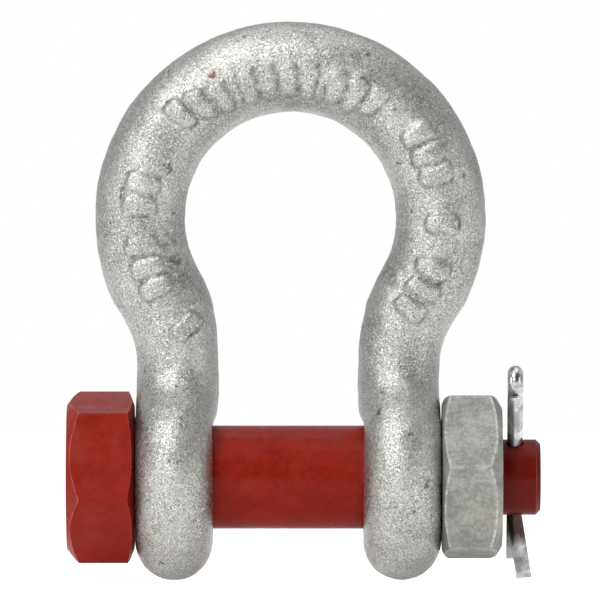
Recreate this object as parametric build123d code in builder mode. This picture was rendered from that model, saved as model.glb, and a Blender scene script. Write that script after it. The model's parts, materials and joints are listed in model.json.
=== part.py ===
from build123d import *
import os
from math import acos, cos, degrees, radians, sin, sqrt, tan

# Bow shackle with a bolt, a nut and a split pin, in millimetres.
# The origin is on the bolt's axis, midway between the two ears of the bow.
# +X runs along the bolt towards the nut, and +Z points at the crown of the bow.

# ---- Driving dimensions ----

# Bow: one round bar bent to a horseshoe, with an eye forged on each leg
bar_diameter = 22.1
bow_radius = 37.06  # centreline of the round of the bow
neck_radius = 29.5  # centreline of the reverse bend into each leg
leg_width = 20.4  # across a leg, along the bolt: the bar narrows a little in the neck
leg_setback = 0.2  # from the outer face of an ear in to the outside of its leg
jaw_width = 37.0  # between the two ears
ear_thickness = 19.1
eye_wall = 12.0  # metal round the eye
eye_clearance = 0.6  # radial, between the pin and the eye
eye_chamfer = 0.8
flare_radius = 11.5  # side fillet where a leg spreads into its ear
flare_steps = 3  # spans of the loft down the fillet
foot_share = 0.3  # how far the foot of a leg has come over to its ear at the top of the eye

# Bolt
pin_diameter = 25.4
shoulder_step = 1.6  # radial, from the pin down to the crest of the thread
shoulder_chamfer = 0.8
end_play = 0.2  # between an ear and the head, and between an ear and the nut
head_height = 16.6
plain_end_length = 9.4  # past the nut
plain_end_relief = 0.08  # radial, under the root of the thread
plain_end_chamfer = 1.1
split_hole_setback = 3.1  # from the nut's face to the middle of the split pin's hole
split_hole_lean = 24.0  # degrees, about the bolt, from +Z towards -Y

# Hexagons. Each end cone is how far its round face stands inside the flats, and its degrees
across_flats = 38.1
hex_corner_round = 0.8
head_turn = 13.9  # degrees from +Y to the first corner of the head
head_end_cone = (1.25, 37.0)
head_seat_cone = (1.45, 20.0)
nut_turn = 52.9  # degrees from +Y to the first corner of the nut
nut_height = 14.8
nut_seat_cone = (1.05, 25.0)
nut_end_cone = (2.05, 30.0)

# Thread, drawn as rings with no lead
thread_pitch = 2.822
thread_depth = 1.732
thread_crest = 0.353
thread_flank_angle = 30.0  # degrees
thread_relief = 1.0  # plain length at each end of the nut
thread_clearance = 0.2  # radial, nut to bolt

# Split pin: half-round wire folded double round an eye
split_diameter = 3.81
split_clearance = 0.28  # radial, in its hole
split_gap = 0.05  # from the pin's middle plane to each flat
split_eye_radius = 2.05  # inside the eye
split_eye_fillet = 2.3  # from a leg into the eye
split_stand_off = 12.9  # of plain legs between the bolt and the eye
split_leg_length = 44.5  # back leg, from the eye's neck
split_leg_extra = 3.2  # the front leg is the longer one
split_bend_radius = 6.0
split_bend_angle = 12.0  # degrees, the front leg's spread below the bolt
split_bend_side = 42.0  # degrees, from +X round towards the front
split_bend_drop = 0.4  # from the bolt's surface to the start of the bend
split_bevel_angle = 38.0  # degrees, of the facet on the front leg's tip

# ---- Derived sizes ----

pin_radius = pin_diameter / 2
bar_radius = bar_diameter / 2
eye_radius = pin_radius + eye_clearance
ear_radius = eye_radius + eye_wall
ear_middle = (jaw_width + ear_thickness) / 2
ear_outside = ear_middle + ear_thickness / 2
leg_middle = ear_outside - leg_setback - leg_width / 2
leg_inset = ear_middle - leg_middle

# The flare's fillet touches the side of the leg and the rim of the ear
neck_height = sqrt((ear_radius + flare_radius) ** 2 - (bar_radius + flare_radius) ** 2)
flare_sweep = degrees(acos((bar_radius + flare_radius) / (ear_radius + flare_radius)))
neck_sweep = degrees(acos((leg_middle + neck_radius) / (bow_radius + neck_radius)))

seat = ear_outside + end_play
thread_crest_radius = pin_radius - shoulder_step
thread_root_radius = thread_crest_radius - thread_depth
thread_flank = thread_depth * tan(radians(thread_flank_angle))
thread_root = thread_pitch - thread_crest - 2 * thread_flank
thread_count = int((nut_height - 2 * thread_relief) / thread_pitch)
thread_start = seat + thread_relief
plain_end_radius = thread_root_radius - plain_end_relief
nut_face = seat + nut_height
bolt_end = nut_face + plain_end_length
split_hole_x = nut_face + split_hole_setback
split_radius = split_diameter / 2


def thread_outline(root_radius, crest_radius):
    """Corners of the thread's rings, in order along X."""
    corners = []
    for ring in range(thread_count):
        foot = thread_start + ring * thread_pitch + thread_root / 2
        crest = foot + thread_flank
        corners.append((foot, root_radius))
        corners.append((crest, crest_radius))
        corners.append((crest + thread_crest, crest_radius))
        corners.append((crest + thread_crest + thread_flank, root_radius))
    return corners


def hex_block(low, high, turn, low_cone, high_cone):
    """A hexagon from low to high along X, with a cone turned on each end."""
    reach = across_flats
    with BuildPart() as block:
        with BuildSketch(Plane.YZ.offset(low)):
            RegularPolygon(across_flats / 2, 6, major_radius=False, rotation=turn)
            fillet(vertices(), hex_corner_round)
        extrude(amount=high - low)
        for end, inwards, (inset, slope) in ((low, 1, low_cone), (high, -1, high_cone)):
            face_radius = across_flats / 2 - inset
            rise = (reach - face_radius) * tan(radians(slope))
            with BuildSketch(Plane.XZ):
                with BuildLine():
                    Polyline(
                        (end - inwards * reach, face_radius),
                        (end, face_radius),
                        (end + inwards * rise, reach),
                        (end - inwards * reach, reach),
                        close=True,
                    )
                make_face()
            revolve(axis=Axis.X, mode=Mode.SUBTRACT)
    return block.part


# ---- Bow ----

with BuildPart() as bow:
    # Round of the bow
    with BuildLine(Plane.XZ) as bow_path:
        left_neck = JernArc((-leg_middle, neck_height), (0, 1), neck_radius, neck_sweep)
        crown = JernArc(left_neck @ 1, left_neck % 1, bow_radius, -180 - 2 * neck_sweep)
        right_neck = JernArc(crown @ 1, crown % 1, neck_radius, neck_sweep)
    with BuildSketch(Plane(origin=crown @ 0, x_dir=(0, 1, 0), z_dir=crown % 0)):
        Circle(bar_radius)
    sweep(path=crown)

    # Necks: the bar bends back and narrows to the width of a leg
    for neck, half_widths in (
        (left_neck, (leg_width / 2, bar_radius)),
        (right_neck, (bar_radius, leg_width / 2)),
    ):
        for end, half_width in enumerate(half_widths):
            with BuildSketch(Plane(origin=neck @ end, x_dir=(0, 1, 0), z_dir=neck % end)):
                Ellipse(bar_radius, half_width)
        sweep(path=neck, multisection=True)

    for side in (-1, 1):
        # Ear: a flat disc with a fully rounded rim
        with BuildSketch(Plane.XZ):
            with Locations((side * ear_middle, 0)):
                Rectangle(
                    ear_thickness,
                    ear_radius - ear_thickness / 2,
                    align=(Align.CENTER, Align.MIN),
                )
            with Locations((side * ear_middle, ear_radius - ear_thickness / 2)):
                Circle(ear_thickness / 2)
            with Locations((side * ear_middle, 0)):
                Rectangle(
                    ear_thickness,
                    ear_radius,
                    align=(Align.CENTER, Align.MAX),
                    mode=Mode.SUBTRACT,
                )
        revolve(axis=Axis.X)

        # Leg: the bar spreads down into the ear, and its foot blends over to the ear's width
        for step in range(flare_steps + 1):
            turn = radians(flare_sweep * step / flare_steps)
            half_depth = bar_radius + flare_radius * (1 - cos(turn))
            with BuildSketch(Plane.XY.offset(neck_height - flare_radius * sin(turn))):
                with Locations((side * leg_middle, 0)):
                    Ellipse(leg_width / 2, half_depth)
        with BuildSketch(Plane.XY.offset(eye_radius)):
            with Locations((side * (leg_middle + leg_inset * foot_share), 0)):
                Ellipse(
                    (leg_width + (ear_thickness - leg_width) * foot_share) / 2,
                    sqrt(ear_radius**2 - eye_radius**2) - eye_chamfer,
                )
        loft()

    # Both eyes in one pass, with their edges broken
    with BuildSketch(Plane.YZ):
        Circle(eye_radius)
    extrude(amount=2 * ear_outside, both=True, mode=Mode.SUBTRACT)
    for face_x, inwards in (
        (-ear_outside, 1),
        (-jaw_width / 2, -1),
        (jaw_width / 2, 1),
        (ear_outside, -1),
    ):
        with BuildSketch(Plane.XZ):
            with BuildLine():
                Polyline(
                    (face_x, 0),
                    (face_x, eye_radius + eye_chamfer),
                    (face_x + inwards * eye_chamfer, eye_radius),
                    (face_x + inwards * eye_chamfer, 0),
                    close=True,
                )
            make_face()
        revolve(axis=Axis.X, mode=Mode.SUBTRACT)

# ---- Bolt ----

head_block = hex_block(
    -seat - head_height,
    -seat,
    head_turn,
    head_end_cone,
    head_seat_cone,
)

# The hole leans, so that the split pin's eye comes forward and its legs go back
split_up = Vector(0, -sin(radians(split_hole_lean)), cos(radians(split_hole_lean)))
split_across = Plane(origin=(split_hole_x, 0, 0), x_dir=(1, 0, 0), z_dir=split_up)

with BuildPart() as bolt:
    add(head_block)
    with BuildSketch(Plane.XZ):
        with BuildLine():
            Polyline(
                (-seat - head_height / 2, 0),
                (-seat - head_height / 2, pin_radius),
                (seat - shoulder_chamfer, pin_radius),
                (seat, pin_radius - shoulder_chamfer),
                (seat, thread_root_radius),
                *thread_outline(thread_root_radius, thread_crest_radius),
                (nut_face, thread_root_radius),
                (nut_face, plain_end_radius),
                (bolt_end - plain_end_chamfer, plain_end_radius),
                (bolt_end, plain_end_radius - plain_end_chamfer),
                (bolt_end, 0),
                close=True,
            )
        make_face()
    revolve(axis=Axis.X)
    with BuildSketch(split_across):
        Circle(split_radius + split_clearance)
    extrude(amount=2 * plain_end_radius, both=True, mode=Mode.SUBTRACT)

# ---- Nut ----

nut_block = hex_block(
    seat,
    nut_face,
    nut_turn,
    nut_seat_cone,
    nut_end_cone,
)
bore_root_radius = thread_root_radius + thread_clearance
bore_crest_radius = thread_crest_radius + thread_clearance

with BuildPart() as nut:
    add(nut_block)
    with BuildSketch(Plane.XZ):
        with BuildLine():
            Polyline(
                (seat, 0),
                (seat, bore_crest_radius),
                (thread_start, bore_root_radius),
                *thread_outline(bore_root_radius, bore_crest_radius),
                (nut_face - thread_relief, bore_root_radius),
                (nut_face, bore_crest_radius),
                (nut_face, 0),
                close=True,
            )
        make_face()
    revolve(axis=Axis.X, mode=Mode.SUBTRACT)

# ---- Split pin ----

eye_sweep = degrees(
    acos((split_gap + split_eye_fillet) / (split_eye_radius + split_eye_fillet))
)
split_neck = plain_end_radius + split_stand_off
bend_start = -plain_end_radius - split_bend_drop
back_tip = split_neck - split_leg_length
split_side = Plane(origin=(split_hole_x, 0, 0), x_dir=split_up, z_dir=(1, 0, 0))
split_front = split_side.y_dir

# The front leg turns off its line inside one plane that holds the pin's own axis
bend_out = (
    Vector(1, 0, 0) * cos(radians(split_bend_side))
    + split_front * sin(radians(split_bend_side))
)
bend_origin = split_side.origin + split_up * bend_start + split_front * split_gap
bend_plane = Plane(
    origin=bend_origin,
    x_dir=-split_up,
    z_dir=(-split_up).cross(bend_out),
)
bent_length = split_leg_extra + bend_start - back_tip

with BuildPart() as split_pin:
    # Bent end of the front leg, with a facet across its tip
    with BuildLine(bend_plane) as tip_path:
        bend = JernArc((0, 0), (1, 0), split_bend_radius, split_bend_angle)
        tip_line = Line(bend @ 1, bend @ 1 + (bend % 1) * bent_length)
    with BuildSketch(Plane(origin=bend_origin, x_dir=(1, 0, 0), z_dir=-split_up)):
        with Locations((0, -split_gap)):
            Circle(split_radius)
        with Locations((0, 0)):
            Rectangle(
                split_diameter,
                split_diameter,
                align=(Align.CENTER, Align.MAX),
                mode=Mode.SUBTRACT,
            )
    sweep()
    tip_down = tip_line % 1
    facet_normal = (
        tip_down * sin(radians(split_bevel_angle))
        + split_front * cos(radians(split_bevel_angle))
    )
    split(bisect_by=Plane(origin=tip_line @ 1, z_dir=facet_normal), keep=Keep.BOTTOM)

    # Straight front leg, eye and back leg in one run of half-round wire
    with BuildLine(split_side) as wire_path:
        front = Line((bend_start, split_gap), (split_neck, split_gap))
        spread = JernArc(front @ 1, front % 1, split_eye_fillet, eye_sweep)
        loop = JernArc(spread @ 1, spread % 1, split_eye_radius, -180 - 2 * eye_sweep)
        close_in = JernArc(loop @ 1, loop % 1, split_eye_fillet, eye_sweep)
        Line(close_in @ 1, (back_tip, -split_gap))
    with BuildSketch(Plane(origin=bend_origin, x_dir=(1, 0, 0), z_dir=split_up)):
        with Locations((0, split_gap)):
            Circle(split_radius)
        with Locations((0, 0)):
            Rectangle(
                split_diameter,
                split_diameter,
                align=(Align.CENTER, Align.MIN),
                mode=Mode.SUBTRACT,
            )
    sweep()

# ---- Files ----

os.makedirs("parts", exist_ok=True)
for name, piece in (
    ("bow", bow),
    ("bolt", bolt),
    ("nut", nut),
    ("split_pin", split_pin),
):
    piece.part.label = name
    export_step(piece.part, f"parts/{name}.step")
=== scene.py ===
"""Looks of a galvanised bow shackle with a red bolt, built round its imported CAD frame."""

import json
from math import atan2, cos, degrees, pi, radians, sin, sqrt, tan

import bmesh
import bpy
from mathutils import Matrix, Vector, noise


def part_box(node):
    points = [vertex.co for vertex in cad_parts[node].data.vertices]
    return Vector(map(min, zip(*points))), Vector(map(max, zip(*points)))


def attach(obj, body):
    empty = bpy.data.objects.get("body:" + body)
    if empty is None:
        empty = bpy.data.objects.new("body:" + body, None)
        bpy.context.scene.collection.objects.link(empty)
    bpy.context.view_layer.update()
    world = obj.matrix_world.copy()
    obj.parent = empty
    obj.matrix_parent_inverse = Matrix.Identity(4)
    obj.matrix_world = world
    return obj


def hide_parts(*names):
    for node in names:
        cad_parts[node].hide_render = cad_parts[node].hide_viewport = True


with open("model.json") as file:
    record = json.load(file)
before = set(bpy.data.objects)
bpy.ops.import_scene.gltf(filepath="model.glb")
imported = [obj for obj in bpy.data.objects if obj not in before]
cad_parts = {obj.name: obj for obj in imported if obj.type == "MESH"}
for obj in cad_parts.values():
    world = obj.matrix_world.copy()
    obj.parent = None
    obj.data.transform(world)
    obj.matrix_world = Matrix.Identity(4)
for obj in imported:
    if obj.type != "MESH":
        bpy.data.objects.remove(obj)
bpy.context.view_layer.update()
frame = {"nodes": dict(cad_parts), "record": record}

noise.seed_set(5)        # without a seed, noise_vector gives other values on each run

MM = 0.001
STUDIO_FRONT = 0.06      # strength of the studio's light from the camera's side
STUDIO_BACK = 0.56       # and from behind the object

# ---- Sizes, worked out from the frame ----

bow_low, bow_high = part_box("bow")
bolt_low, bolt_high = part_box("bolt")
nut_low, nut_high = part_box("nut")

mounts = {mount["name"]: mount for mount in frame["record"]["mounts"]}
jaw_half = mounts["load_pin"]["dims"]["length_mm"] / 2 * MM
eye_radius = 13.3 * MM
bar_radius = 11.05 * MM
outer_radius = bow_high.x            # outside of the round of the bow
round_height = bow_high.z - outer_radius
bow_radius = outer_radius - bar_radius
nut_half_flats = 19.05 * MM
nut_corner_radius = 21.9 * MM        # out to the rounded corners of the hexagon
nut_turn = 52.9                      # degrees from +Y to the first corner of the nut
nut_seat_cone = (1.05 * MM, 25.0)    # how far its round face stands inside the flats, and its slope
nut_end_cone = (2.05 * MM, 30.0)

# ---- Mesh helpers ----


def merged_copy(node, name, materials, joined=0.001 * MM):
    """A copy of a CAD node's mesh with its triangles joined up, its flats whole and its materials on."""
    mesh = frame["nodes"][node].data.copy()
    mesh.name = name
    mesh.materials.clear()
    form = bmesh.new()
    form.from_mesh(mesh)
    bmesh.ops.remove_doubles(form, verts=form.verts, dist=joined)
    bmesh.ops.dissolve_limit(
        form, angle_limit=radians(0.2), verts=form.verts, edges=form.edges
    )
    form.to_mesh(mesh)
    form.free()
    mesh.shade_smooth()
    for material in materials:
        mesh.materials.append(material)
    piece = bpy.data.objects.new(name, mesh)
    bpy.context.scene.collection.objects.link(piece)
    return piece


def bake_modifiers(piece):
    """Puts the result of the piece's modifiers in its mesh."""
    graph = bpy.context.evaluated_depsgraph_get()
    mesh = bpy.data.meshes.new_from_object(piece.evaluated_get(graph))
    piece.modifiers.clear()
    piece.data = mesh


def finish_piece(piece, body, node):
    """Ties a piece to the frame, in the place of a CAD node."""
    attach(piece, body)
    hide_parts(node)


def smooth_out(form, verts, passes):
    """Evens out some of a mesh's vertices, further with each pass."""
    for _ in range(passes):
        bmesh.ops.smooth_vert(
            form, verts=verts, factor=0.5, use_axis_x=True, use_axis_y=True, use_axis_z=True
        )


def smooth_step(low, high, value):
    """0 below low, 1 above high, with a smooth rise between."""
    share = min(1.0, max(0.0, (value - low) / (high - low)))
    return share * share * (3 - 2 * share)


# ---- Node helpers ----


def new_group(name, inputs, outputs):
    """An empty node group with named sockets, and its input and output nodes."""
    group = bpy.data.node_groups.new(name, "ShaderNodeTree")
    for label, kind, value in inputs:
        socket = group.interface.new_socket(label, in_out="INPUT", socket_type=kind)
        if value is not None:
            socket.default_value = value
    for label, kind in outputs:
        group.interface.new_socket(label, in_out="OUTPUT", socket_type=kind)
    return group, group.nodes.new("NodeGroupInput"), group.nodes.new("NodeGroupOutput")


def add_node(tree, kind, values=(), **settings):
    """A node with its settings and the values of its unlinked inputs."""
    node = tree.nodes.new(kind)
    for key, value in settings.items():
        setattr(node, key, value)
    for key, value in dict(values).items():
        node.inputs[key].default_value = value
    return node


def noise_value(tree, vector, scale, detail=3.0, roughness=0.55, distortion=0.0):
    """A noise texture's value, with a number or a socket for its scale."""
    node = add_node(
        tree,
        "ShaderNodeTexNoise",
        {"Detail": detail, "Roughness": roughness, "Distortion": distortion},
    )
    tree.links.new(vector, node.inputs["Vector"])
    if isinstance(scale, (int, float)):
        node.inputs["Scale"].default_value = scale
    else:
        tree.links.new(scale, node.inputs["Scale"])
    return node.outputs["Fac"]


def ramp(tree, value, low, high, start=0.0, end=1.0):
    """The value mapped from low..high to start..end and held there."""
    node = add_node(
        tree,
        "ShaderNodeMapRange",
        {"From Min": low, "From Max": high, "To Min": start, "To Max": end},
        clamp=True,
        interpolation_type="SMOOTHSTEP",
    )
    tree.links.new(value, node.inputs["Value"])
    return node.outputs["Result"]


def maths(tree, operation, first, second):
    """A maths node on two numbers or sockets."""
    node = add_node(tree, "ShaderNodeMath", operation=operation)
    for socket, value in zip(node.inputs, (first, second)):
        if isinstance(value, (int, float)):
            socket.default_value = value
        else:
            tree.links.new(value, socket)
    return node.outputs[0]


def blend_values(tree, share, first, second):
    """Two numbers or sockets mixed by a share: all of the first at 0, all of the second at 1."""
    kept = maths(tree, "MULTIPLY", first, maths(tree, "SUBTRACT", 1.0, share))
    return maths(tree, "ADD", kept, maths(tree, "MULTIPLY", second, share))


def mix_colour(tree, share, first, second, blend="MIX"):
    """Two colours, or colour sockets, mixed by a share."""
    node = add_node(tree, "ShaderNodeMix", data_type="RGBA", blend_type=blend)
    for socket, value in ((node.inputs[0], share), (node.inputs[6], first), (node.inputs[7], second)):
        if hasattr(value, "links"):
            tree.links.new(value, socket)
        elif isinstance(value, (int, float)):
            socket.default_value = value
        else:
            socket.default_value = (*value, 1.0)
    return node.outputs[2]


def split_axes(tree, vector):
    """The X, Y and Z of a vector."""
    node = add_node(tree, "ShaderNodeSeparateXYZ")
    tree.links.new(vector, node.inputs[0])
    return node.outputs


def new_material(name, metallic=0.0, specular=0.5):
    """A material with its tree, shader and Object coordinates."""
    material = bpy.data.materials.new(name)
    material.use_nodes = True
    tree = material.node_tree
    shader = tree.nodes["Principled BSDF"]
    shader.inputs["Metallic"].default_value = metallic
    shader.inputs["Specular IOR Level"].default_value = specular
    return material, tree, shader, add_node(tree, "ShaderNodeTexCoord").outputs["Object"]


def use_group(tree, group, vector, values):
    """A group placed in a material, fed with a vector and its own values."""
    node = add_node(tree, "ShaderNodeGroup", node_tree=group)
    for key, value in values.items():
        node.inputs[key].default_value = value
    tree.links.new(vector, node.inputs["Vector"])
    return node


def use_bump(tree, shader, height, distance):
    """The height as bump on the shader's normal."""
    bump = add_node(tree, "ShaderNodeBump", {"Distance": distance})
    tree.links.new(height, bump.inputs["Height"])
    tree.links.new(bump.outputs["Normal"], shader.inputs["Normal"])


# ---- Shared effects ----


def make_mottle():
    """Cloudy change from one colour to another, in two sizes of patch."""
    group, start, end = new_group(
        "mottle",
        (
            ("Vector", "NodeSocketVector", None),
            ("Dark", "NodeSocketColor", (0.2, 0.2, 0.2, 1.0)),
            ("Light", "NodeSocketColor", (0.6, 0.6, 0.6, 1.0)),
            ("Patch Scale", "NodeSocketFloat", 150.0),
            ("Fleck Scale", "NodeSocketFloat", 900.0),
            ("Patch Share", "NodeSocketFloat", 0.5),
        ),
        (("Color", "NodeSocketColor"), ("Mask", "NodeSocketFloat")),
    )
    vector = start.outputs["Vector"]
    patches = noise_value(group, vector, start.outputs["Patch Scale"], 4.0, 0.6, 0.4)
    flecks = noise_value(group, vector, start.outputs["Fleck Scale"], 2.0, 0.6)
    both = blend_values(group, start.outputs["Patch Share"], flecks, patches)
    share = ramp(group, both, 0.36, 0.64)
    colour = mix_colour(group, share, start.outputs["Dark"], start.outputs["Light"])
    group.links.new(colour, end.inputs["Color"])
    group.links.new(share, end.inputs["Mask"])
    return group


def make_specks():
    """A mask of small scattered specks: pits, dirt or spatter."""
    group, start, end = new_group(
        "specks",
        (
            ("Vector", "NodeSocketVector", None),
            ("Scale", "NodeSocketFloat", 700.0),
            ("Threshold", "NodeSocketFloat", 0.62),
            ("Softness", "NodeSocketFloat", 0.06),
        ),
        (("Mask", "NodeSocketFloat"),),
    )
    value = noise_value(group, start.outputs["Vector"], start.outputs["Scale"], 2.0, 0.5)
    over = maths(group, "SUBTRACT", value, start.outputs["Threshold"])
    mask = add_node(group, "ShaderNodeMath", operation="DIVIDE", use_clamp=True)
    group.links.new(over, mask.inputs[0])
    group.links.new(start.outputs["Softness"], mask.inputs[1])
    group.links.new(mask.outputs[0], end.inputs["Mask"])
    return group


def make_grain():
    """A height of coarse lumps and fine grain, for bump."""
    group, start, end = new_group(
        "grain",
        (
            ("Vector", "NodeSocketVector", None),
            ("Lump Scale", "NodeSocketFloat", 350.0),
            ("Grain Scale", "NodeSocketFloat", 1400.0),
            ("Lump Share", "NodeSocketFloat", 0.6),
        ),
        (("Height", "NodeSocketFloat"),),
    )
    vector = start.outputs["Vector"]
    lumps = noise_value(group, vector, start.outputs["Lump Scale"], 2.0, 0.5)
    grain = noise_value(group, vector, start.outputs["Grain Scale"], 3.0, 0.6)
    height = blend_values(group, start.outputs["Lump Share"], grain, lumps)
    group.links.new(height, end.inputs["Height"])
    return group


mottle = make_mottle()
specks = make_specks()
grain = make_grain()

# ---- Materials ----


def dipped_zinc():
    """Hot-dip zinc over a forging: grey, sparkling with fine grain, with dark pits, and painted shade in
    the creases round the marks and on the inner sides of the bow.
    """
    material, tree, shader, vector = new_material("dipped_zinc")
    base = use_group(
        tree,
        mottle,
        vector,
        {
            "Dark": (0.22, 0.225, 0.215, 1),
            "Light": (0.58, 0.585, 0.56, 1),
            "Patch Scale": 90.0,
            "Fleck Scale": 2900.0,
            "Patch Share": 0.3,
        },
    )
    fine_pits = use_group(tree, specks, vector, {"Scale": 1500.0, "Threshold": 0.67, "Softness": 0.06})
    wide_pits = use_group(tree, specks, vector, {"Scale": 330.0, "Threshold": 0.70, "Softness": 0.03})
    pits = maths(tree, "MAXIMUM", fine_pits.outputs["Mask"], wide_pits.outputs["Mask"])
    crystals = use_group(tree, specks, vector, {"Scale": 2500.0, "Threshold": 0.55, "Softness": 0.09})
    glint = maths(tree, "MULTIPLY", crystals.outputs["Mask"], 0.65)
    bright = mix_colour(tree, glint, base.outputs["Color"], (0.93, 0.935, 0.93))
    # Painted shade from the mesh: darkening in the creases round the raised marks and on the inner sides
    # of the bow
    painted_shade = add_node(tree, "ShaderNodeAttribute", attribute_name="painted_shade").outputs["Fac"]
    painted_shade_break = ramp(tree, noise_value(tree, vector, 520.0, 4.0, 0.65), 0.38, 0.62)
    painted_shade_share = maths(tree, "MULTIPLY", painted_shade, painted_shade_break)
    pitted = mix_colour(tree, maths(tree, "MULTIPLY", pits, 0.7), bright, (0.07, 0.07, 0.065))
    with_painted_shade = mix_colour(tree, painted_shade_share, pitted, (0.05, 0.045, 0.04))
    rust = add_node(tree, "ShaderNodeAttribute", attribute_name="rust").outputs["Fac"]
    rust_break = ramp(tree, noise_value(tree, vector, 700.0, 3.0, 0.6), 0.45, 0.6)
    rust_share = maths(tree, "MULTIPLY", rust, rust_break)
    rusted = mix_colour(tree, rust_share, with_painted_shade, (0.15, 0.075, 0.055))
    tree.links.new(rusted, shader.inputs["Base Color"])
    roughness = ramp(tree, noise_value(tree, vector, 900.0, 3.0, 0.6), 0.3, 0.7, 0.18, 0.36)
    rough = maths(tree, "ADD", roughness, maths(tree, "MULTIPLY", painted_shade_share, 0.3))
    tree.links.new(rough, shader.inputs["Roughness"])
    metal = maths(tree, "SUBTRACT", 0.88, maths(tree, "MULTIPLY", painted_shade_share, 0.7))
    tree.links.new(metal, shader.inputs["Metallic"])
    height = use_group(
        tree, grain, vector, {"Lump Scale": 1100.0, "Grain Scale": 3200.0, "Lump Share": 0.45}
    )
    sunk = maths(tree, "SUBTRACT", height.outputs["Height"], maths(tree, "MULTIPLY", pits, 0.35))
    use_bump(tree, shader, sunk, 0.27 * MM)
    return material


def hexagon_edges(tree, vector):
    """A mask along the nut's edges: where its flats meet its two end cones, and along its corners."""
    x, y, z = split_axes(tree, vector)
    squares = maths(tree, "ADD", maths(tree, "MULTIPLY", y, y), maths(tree, "MULTIPLY", z, z))
    from_axis = maths(tree, "POWER", squares, 0.5)
    out_to_flat = 0.0
    for flat in range(3):
        facing = radians(nut_turn + 30 + 60 * flat)
        reach = maths(
            tree, "ADD", maths(tree, "MULTIPLY", y, cos(facing)), maths(tree, "MULTIPLY", z, sin(facing))
        )
        out_to_flat = maths(tree, "MAXIMUM", out_to_flat, maths(tree, "ABSOLUTE", reach, 0.0))
    near_flat = ramp(tree, out_to_flat, nut_half_flats - 0.5 * MM, nut_half_flats - 0.1 * MM)
    edges = ramp(tree, from_axis, nut_corner_radius - 0.4 * MM, nut_corner_radius, 0.0, 0.4)
    for end, inwards, (inset, slope) in (
        (nut_low.x, 1, nut_seat_cone),
        (nut_high.x, -1, nut_end_cone),
    ):
        from_end = maths(tree, "SUBTRACT", x, end)
        widening = maths(tree, "MULTIPLY", from_end, inwards / tan(radians(slope)))
        cone = maths(tree, "ADD", widening, nut_half_flats - inset)
        depth = maths(tree, "SUBTRACT", cone, from_axis)
        near_cone = ramp(tree, depth, 0.2 * MM, 1.5 * MM, 1.0, 0.0)
        edges = maths(tree, "MAXIMUM", edges, maths(tree, "MULTIPLY", near_cone, near_flat))
    return edges


def nut_zinc():
    """Zinc on a machined nut: matt and cloudy, with bright broken lines along its edges."""
    material, tree, shader, vector = new_material("nut_zinc", metallic=0.22)
    base = use_group(
        tree,
        mottle,
        vector,
        {
            "Dark": (0.22, 0.225, 0.215, 1),
            "Light": (0.37, 0.375, 0.355, 1),
            "Patch Scale": 170.0,
            "Fleck Scale": 1100.0,
            "Patch Share": 0.55,
        },
    )
    warm = ramp(tree, noise_value(tree, vector, 90.0, 2.0, 0.5), 0.55, 0.72, 0.0, 0.35)
    tinted = mix_colour(tree, warm, base.outputs["Color"], (0.52, 0.49, 0.38))
    pits = use_group(tree, specks, vector, {"Scale": 800.0, "Threshold": 0.7, "Softness": 0.05})
    pitted = mix_colour(tree, maths(tree, "MULTIPLY", pits.outputs["Mask"], 0.6), tinted, (0.1, 0.1, 0.1))
    broken = ramp(tree, noise_value(tree, vector, 1000.0, 4.0, 0.75), 0.44, 0.6, 0.1, 0.85)
    rubbed = maths(tree, "MULTIPLY", hexagon_edges(tree, vector), broken)
    tree.links.new(mix_colour(tree, rubbed, pitted, (0.66, 0.67, 0.66)), shader.inputs["Base Color"])
    rough = ramp(tree, base.outputs["Mask"], 0.0, 1.0, 0.64, 0.5)
    polished = maths(tree, "SUBTRACT", rough, maths(tree, "MULTIPLY", rubbed, 0.25))
    tree.links.new(polished, shader.inputs["Roughness"])
    height = use_group(
        tree, grain, vector, {"Lump Scale": 260.0, "Grain Scale": 1500.0, "Lump Share": 0.7}
    )
    raised = maths(tree, "ADD", height.outputs["Height"], maths(tree, "MULTIPLY", rubbed, 0.5))
    use_bump(tree, shader, raised, 0.12 * MM)
    return material


def red_paint():
    """Dark red paint, slightly uneven, with faint dust and small chips, darker on the plain end."""
    material, tree, shader, vector = new_material("red_paint", specular=0.12)
    base = use_group(
        tree,
        mottle,
        vector,
        {
            "Dark": (0.21, 0.009, 0.004, 1),
            "Light": (0.27, 0.014, 0.007, 1),
            "Patch Scale": 110.0,
            "Fleck Scale": 700.0,
            "Patch Share": 0.55,
        },
    )
    chips = use_group(tree, specks, vector, {"Scale": 520.0, "Threshold": 0.73, "Softness": 0.02})
    chip_share = maths(tree, "MULTIPLY", chips.outputs["Mask"], 0.6)
    chipped = mix_colour(tree, chip_share, base.outputs["Color"], (0.07, 0.012, 0.01))
    dusty = ramp(tree, noise_value(tree, vector, 75.0, 5.0, 0.6), 0.5, 0.75, 0.0, 0.18)
    coated = mix_colour(tree, dusty, chipped, (0.25, 0.08, 0.05))
    along = split_axes(tree, vector)["X"]
    past_nut = ramp(tree, along, nut_high.x - 1 * MM, nut_high.x + 1 * MM)
    shaded = mix_colour(tree, past_nut, coated, (0.5, 0.45, 0.45), "MULTIPLY")
    tree.links.new(shaded, shader.inputs["Base Color"])
    rough = ramp(tree, noise_value(tree, vector, 180.0, 4.0, 0.6), 0.3, 0.7, 0.24, 0.4)
    tree.links.new(rough, shader.inputs["Roughness"])
    height = use_group(
        tree, grain, vector, {"Lump Scale": 200.0, "Grain Scale": 1000.0, "Lump Share": 0.8}
    )
    use_bump(tree, shader, height.outputs["Height"], 0.1 * MM)
    return material


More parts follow.
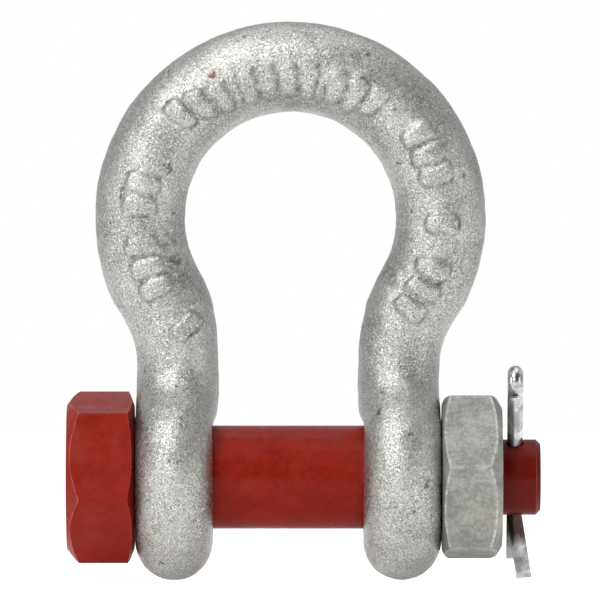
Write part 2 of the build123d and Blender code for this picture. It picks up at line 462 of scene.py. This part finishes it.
def rubbed_paint():
    """Paint on a sharp edge, rubbed through to a broken pale line, most of all on the head."""
    material, tree, shader, vector = new_material("rubbed_paint")
    along = split_axes(tree, vector)["X"]
    handled = ramp(tree, along, bolt_low.x + 6 * MM, bolt_low.x + 11 * MM, 1.0, 0.45)
    broken = ramp(tree, noise_value(tree, vector, 200.0, 4.0, 0.7), 0.38, 0.52)
    worn = maths(tree, "MULTIPLY", handled, broken)
    colour = mix_colour(tree, worn, (0.24, 0.025, 0.015), (0.85, 0.52, 0.36))
    tree.links.new(colour, shader.inputs["Base Color"])
    tree.links.new(ramp(tree, worn, 0.0, 1.0, 0.4, 0.5), shader.inputs["Roughness"])
    height = use_group(
        tree, grain, vector, {"Lump Scale": 500.0, "Grain Scale": 1600.0, "Lump Share": 0.5}
    )
    use_bump(tree, shader, height.outputs["Height"], 0.12 * MM)
    return material


def bright_zinc():
    """Bright zinc plate on wire, with small dull patches, and painted shade with a painted dark red
    reflection of the bolt on the legs under it.
    """
    material, tree, shader, vector = new_material("bright_zinc", metallic=1.0)
    base = use_group(
        tree,
        mottle,
        vector,
        {
            "Dark": (0.34, 0.345, 0.35, 1),
            "Light": (0.82, 0.83, 0.835, 1),
            "Patch Scale": 260.0,
            "Fleck Scale": 1300.0,
            "Patch Share": 0.85,
        },
    )
    pits = use_group(tree, specks, vector, {"Scale": 900.0, "Threshold": 0.7, "Softness": 0.05})
    pit_share = maths(tree, "MULTIPLY", pits.outputs["Mask"], 0.8)
    pitted = mix_colour(tree, pit_share, base.outputs["Color"], (0.06, 0.06, 0.06))
    # Painted shade and a painted dark red reflection of the bolt, on the legs just below it
    up = split_axes(tree, vector)["Z"]
    waver = maths(tree, "MULTIPLY", noise_value(tree, vector, 450.0, 4.0, 0.65), 4 * MM)
    above_tips = ramp(tree, maths(tree, "ADD", up, waver), -17.5 * MM, -11.5 * MM)
    below_axis = ramp(tree, up, -6 * MM, 0.0, 1.0, 0.0)
    painted_bolt_shade = maths(tree, "MULTIPLY", maths(tree, "MULTIPLY", above_tips, below_axis), 0.97)
    tree.links.new(mix_colour(tree, painted_bolt_shade, pitted, (0.05, 0.022, 0.017)), shader.inputs["Base Color"])
    rough = ramp(tree, base.outputs["Mask"], 0.0, 1.0, 0.26, 0.15)
    tree.links.new(rough, shader.inputs["Roughness"])
    height = use_group(
        tree, grain, vector, {"Lump Scale": 700.0, "Grain Scale": 2400.0, "Lump Share": 0.6}
    )
    use_bump(tree, shader, height.outputs["Height"], 0.03 * MM)
    return material


# ---- Bow ----

# Raised ornament on the front of the bow: plain pads in short rows.
# Each row is its first pad's angle, in degrees clockwise from the crown, and its count of pads
MARK_ROWS = (
    (-137, 1), (-118, 3), (-86, 2), (-47, 3), (-18, 4), (19, 3), (57, 3), (93, 1), (110, 3),
)
MARK_PITCH = 8.5         # degrees from pad to pad
MARK_ANGLES = [first + MARK_PITCH * place for first, count in MARK_ROWS for place in range(count)]
MARK_HALF_WIDTH = 2.1 * MM
MARK_HALF_HEIGHT = 3.9 * MM
MARK_HEIGHT = 1.05 * MM
MARK_EDGE = 0.55 * MM
MARK_CORNER = 1.2 * MM
MARK_INWARDS = 3.4 * MM  # how far the rows at the crown sit inside the middle of the bar

# Painted shade patches on the inner sides: place across and up and radius, in millimetres, and how dark
# at the middle
INNER_SHADES = (
    (-29.6, 57.5, 3.6, 0.75),
    (-28.4, 53.0, 4.2, 0.85),
    (-26.8, 48.5, 3.8, 0.55),
    (24.5, 50.0, 6.0, 0.75),
    (20.5, 38.0, 5.0, 0.5),
    (0.0, 90.5, 4.0, 0.3),
)
RUST_SPOT = Vector((-19.1, -10.7, 99.1)) * MM
RUST_RADII = (1.0 * MM, 3.5 * MM)       # all rust inside the first, none past the second

SKIN_VOXEL = 0.63 * MM
NECK_HEIGHTS = (14.5 * MM, 42 * MM)     # where the ears blend into the legs
NECK_PASSES = 70
LEDGE_HEIGHTS = (9 * MM, 22 * MM)       # where the jaw's faces run out into the legs
LEDGE_HALF_DEPTH = 21 * MM
LEDGE_PAST_JAW = 0.8 * MM
LEDGE_PASSES = 40
BOW_LEAN = 0.55 * MM                    # the crown of this forging stands a little towards the nut
LEAN_HEIGHTS = (24 * MM, 60 * MM)       # it leans between these heights


def mark_field(point):
    """How far a point of the bow's front stands inside a raised mark: 1 on top, 0 outside.

    The second value is the crease round the mark's foot, where shade is painted.
    """
    across, up = point.x, point.z - round_height
    reach = sqrt(across * across + up * up)
    if point.y > -2 * MM or abs(reach - bow_radius) > 9 * MM:
        return 0.0, 0.0
    clockwise = degrees(atan2(across, up))
    waver = noise.noise_vector(point / (3.0 * MM)) * 0.5 * MM
    row_middle = bow_radius - MARK_INWARDS * (1 - smooth_step(25, 50, abs(clockwise)))
    inside = -1.0
    for angle in MARK_ANGLES:
        turn = clockwise - angle
        if abs(turn) > MARK_PITCH:
            continue
        gap_x = abs(radians(turn) * bow_radius + waver.x) - MARK_HALF_WIDTH + MARK_CORNER
        gap_y = abs(reach - row_middle + waver.z) - MARK_HALF_HEIGHT + MARK_CORNER
        beyond = sqrt(max(gap_x, 0.0) ** 2 + max(gap_y, 0.0) ** 2)
        inside = max(inside, MARK_CORNER - beyond - min(max(gap_x, gap_y), 0.0))
    top = smooth_step(-MARK_EDGE, MARK_EDGE, inside)
    crease = smooth_step(-0.95 * MM, -0.45 * MM, inside) * (1 - smooth_step(-0.35 * MM, 0.1 * MM, inside))
    return top, crease


def free_surface(point):
    """1 where the bow's skin may be lumpy, falling to 0 in and close round the eyes."""
    from_axis = sqrt(point.y**2 + point.z**2)
    return smooth_step(eye_radius + 0.8 * MM, eye_radius + 3 * MM, from_axis)


def inner_shade(point):
    """Painted shade on the inside of each flank, in the right neck and under the crown."""
    share = 0.0
    for x, z, size, depth in INNER_SHADES:
        away = sqrt((point.x - x * MM) ** 2 + (point.z - z * MM) ** 2)
        share = max(share, depth * (1 - smooth_step(0.2 * size * MM, size * MM, away)))
    return share


def forged_bow():
    """The bow as forged and dipped: one skin over bar, necks and ears, lumpy, with raised marks."""
    bow = merged_copy("bow", "bow_forging", [dipped_zinc()])
    remesh = bow.modifiers.new("skin", "REMESH")
    remesh.mode = "VOXEL"
    remesh.voxel_size = SKIN_VOXEL
    bake_modifiers(bow)
    form = bmesh.new()
    form.from_mesh(bow.data)
    smooth_out(form, form.verts, 1)
    low, high = NECK_HEIGHTS
    smooth_out(form, [v for v in form.verts if low < v.co.z < high], NECK_PASSES)
    low, high = LEDGE_HEIGHTS
    ledge_verts = [
        v for v in form.verts
        if low < v.co.z < high
        and abs(v.co.x) < jaw_half + LEDGE_PAST_JAW
        and abs(v.co.y) < LEDGE_HALF_DEPTH
    ]
    smooth_out(form, ledge_verts, LEDGE_PASSES)
    form.normal_update()
    painted_shade = form.verts.layers.float.new("painted_shade")
    rust = form.verts.layers.float.new("rust")
    moves = []
    for vert in form.verts:
        place = vert.co / MM
        free = free_surface(vert.co)
        wave = noise.noise(place / 9.0) * 0.22 + noise.noise(place / 3.2 + Vector((7, 3, 5))) * 0.10
        fine = noise.noise(place / 1.5 + Vector((2, 9, 4))) * 0.05
        top, crease = mark_field(vert.co)
        below = 0.55 + 0.4 * smooth_step(-0.2, 0.5, noise.noise(place / 4.5 + Vector((4, 1, 8))))
        fade = smooth_step(0.25, 0.7, -vert.normal.y)
        rise = (wave + fine) * MM * free + MARK_HEIGHT * top * fade
        moves.append(vert.normal * rise)
        # Painted shade: darker in the crease round each mark's foot, and on the inner sides of the
        # flanks, the right neck and under the crown
        vert[painted_shade] = max(below * crease * fade, inner_shade(vert.co))
        vert[rust] = 1 - smooth_step(*RUST_RADII, (vert.co - RUST_SPOT).length)
    for vert, move in zip(form.verts, moves):
        vert.co += move
        vert.co.x += BOW_LEAN * smooth_step(*LEAN_HEIGHTS, vert.co.z)
    form.to_mesh(bow.data)
    form.free()
    bow.data.shade_smooth()
    finish_piece(bow, "bow", "bow")


# ---- Bolt, nut and split pin ----


def broken_edges(node, name, materials, width, limit, joined=0.001 * MM):
    """A copy of a machined CAD node with its sharp edges broken, in the last of its materials."""
    piece = merged_copy(node, name, materials, joined)
    piece.data.set_sharp_from_angle(angle=radians(limit))
    bevel = piece.modifiers.new("edges", "BEVEL")
    bevel.width = width
    bevel.segments = 2
    bevel.limit_method = "ANGLE"
    bevel.angle_limit = radians(limit)
    bevel.profile = 0.5
    bevel.material = len(materials) - 1
    bevel.harden_normals = True
    bake_modifiers(piece)
    return piece


def painted_bolt():
    """The red bolt, its edges rubbed pale."""
    bolt = broken_edges("bolt", "bolt_painted", [red_paint(), rubbed_paint()], 0.26 * MM, 18)
    finish_piece(bolt, "bolt", "bolt")


def dipped_nut():
    """The zinc nut, its sharp edges just broken."""
    nut = broken_edges("nut", "nut_dipped", [nut_zinc()], 0.3 * MM, 15)
    finish_piece(nut, "nut", "nut")


def wire_pin():
    """The split pin, with the corners of its half-round wire just broken."""
    pin = broken_edges("split_pin", "split_pin_wire", [bright_zinc()], 0.12 * MM, 35, 0.03 * MM)
    finish_piece(pin, "split_pin", "split_pin")


# ---- Floor, lights and camera ----

LIGHT_COLOUR = (1.0, 0.99, 0.962)
LIGHT_TARGET = Vector((0.0, 0.0, 0.04))
# Each light's name, place and size in metres, and its power in watts
LIGHTS = (
    ("key", (-0.36, -0.56, 0.76), (0.54, 0.46), 5.1),
    ("front", (-0.3, -0.9, 0.3), (0.3, 0.3), 1.9),
    ("left", (-0.9, -0.45, 0.1), (0.4, 0.7), 1.8),
    ("right", (0.9, -0.5, 0.1), (0.4, 0.7), 2.1),
    ("overhead", (0.0, 0.05, 0.8), (0.7, 0.7), 1.6),
)


def make_stage():
    """A wide pale floor just under the ears."""
    form = bmesh.new()
    bmesh.ops.create_grid(form, x_segments=2, y_segments=2, size=3.0)
    mesh = bpy.data.meshes.new("floor")
    bmesh.ops.translate(form, verts=form.verts, vec=(0, 0, bow_low.z - 0.3 * MM))
    form.to_mesh(mesh)
    form.free()
    floor = bpy.data.objects.new("floor", mesh)
    bpy.context.scene.collection.objects.link(floor)
    material = bpy.data.materials.new("floor_white")
    material.use_nodes = True
    shader = material.node_tree.nodes["Principled BSDF"]
    shader.inputs["Base Color"].default_value = (0.85, 0.85, 0.85, 1)
    shader.inputs["Roughness"].default_value = 0.9
    shader.inputs["Emission Color"].default_value = (1, 1, 1, 1)
    seen = add_node(material.node_tree, "ShaderNodeLightPath").outputs["Is Camera Ray"]
    glow = ramp(material.node_tree, seen, 0.0, 1.0, 0.32, 0.8)
    material.node_tree.links.new(glow, shader.inputs["Emission Strength"])
    floor.data.materials.append(material)


def make_light(name, place, size, watts):
    """A soft rectangular light at a place, turned to the middle of the shackle."""
    lamp = bpy.data.lights.new(name, "AREA")
    lamp.shape = "RECTANGLE"
    lamp.size, lamp.size_y = size
    lamp.energy = watts
    lamp.color = LIGHT_COLOUR
    holder = bpy.data.objects.new(name, lamp)
    holder.location = place
    holder.rotation_euler = (LIGHT_TARGET - Vector(place)).to_track_quat("-Z", "Y").to_euler()
    bpy.context.scene.collection.objects.link(holder)


def make_world():
    """A white studio seen behind the object, dark on the camera's side as a light."""
    world = bpy.data.worlds.new("studio")
    world.use_nodes = True
    tree = world.node_tree
    back = tree.nodes["Background"]
    back.inputs["Color"].default_value = (1, 1, 1, 1)
    split = add_node(tree, "ShaderNodeSeparateXYZ")
    tree.links.new(add_node(tree, "ShaderNodeTexCoord").outputs["Generated"], split.inputs[0])
    glow = ramp(tree, split.outputs["Y"], -0.75, 0.25, STUDIO_FRONT, STUDIO_BACK)
    seen = add_node(tree, "ShaderNodeLightPath").outputs["Is Camera Ray"]
    hidden = maths(tree, "MULTIPLY", maths(tree, "SUBTRACT", 1.0, seen), glow)
    tree.links.new(maths(tree, "ADD", seen, hidden), back.inputs["Strength"])
    bpy.context.scene.world = world


def make_lights():
    """A key from the upper left, fills from the front, left and right, and a wide light overhead."""
    for name, place, size, watts in LIGHTS:
        make_light(name, place, size, watts)


def make_camera():
    """A long lens, level, square on to the front of the shackle."""
    distance = 2.5
    frame_width = 147.7 * MM
    look_at = Vector((2.9 * MM, 0.0, 43.6 * MM))
    lens = bpy.data.cameras.new("camera")
    lens.sensor_width = 36.0
    lens.lens = lens.sensor_width * distance / frame_width
    lens.clip_start = 0.01
    camera = bpy.data.objects.new("camera", lens)
    camera.location = look_at - Vector((0, distance, 0))
    camera.rotation_euler = (pi / 2, 0, 0)
    bpy.context.scene.collection.objects.link(camera)
    bpy.context.scene.camera = camera


make_camera()
make_stage()
make_world()
make_lights()
forged_bow()
painted_bolt()
dipped_nut()
wire_pin()

bpy.context.scene.view_settings.view_transform = "Standard"
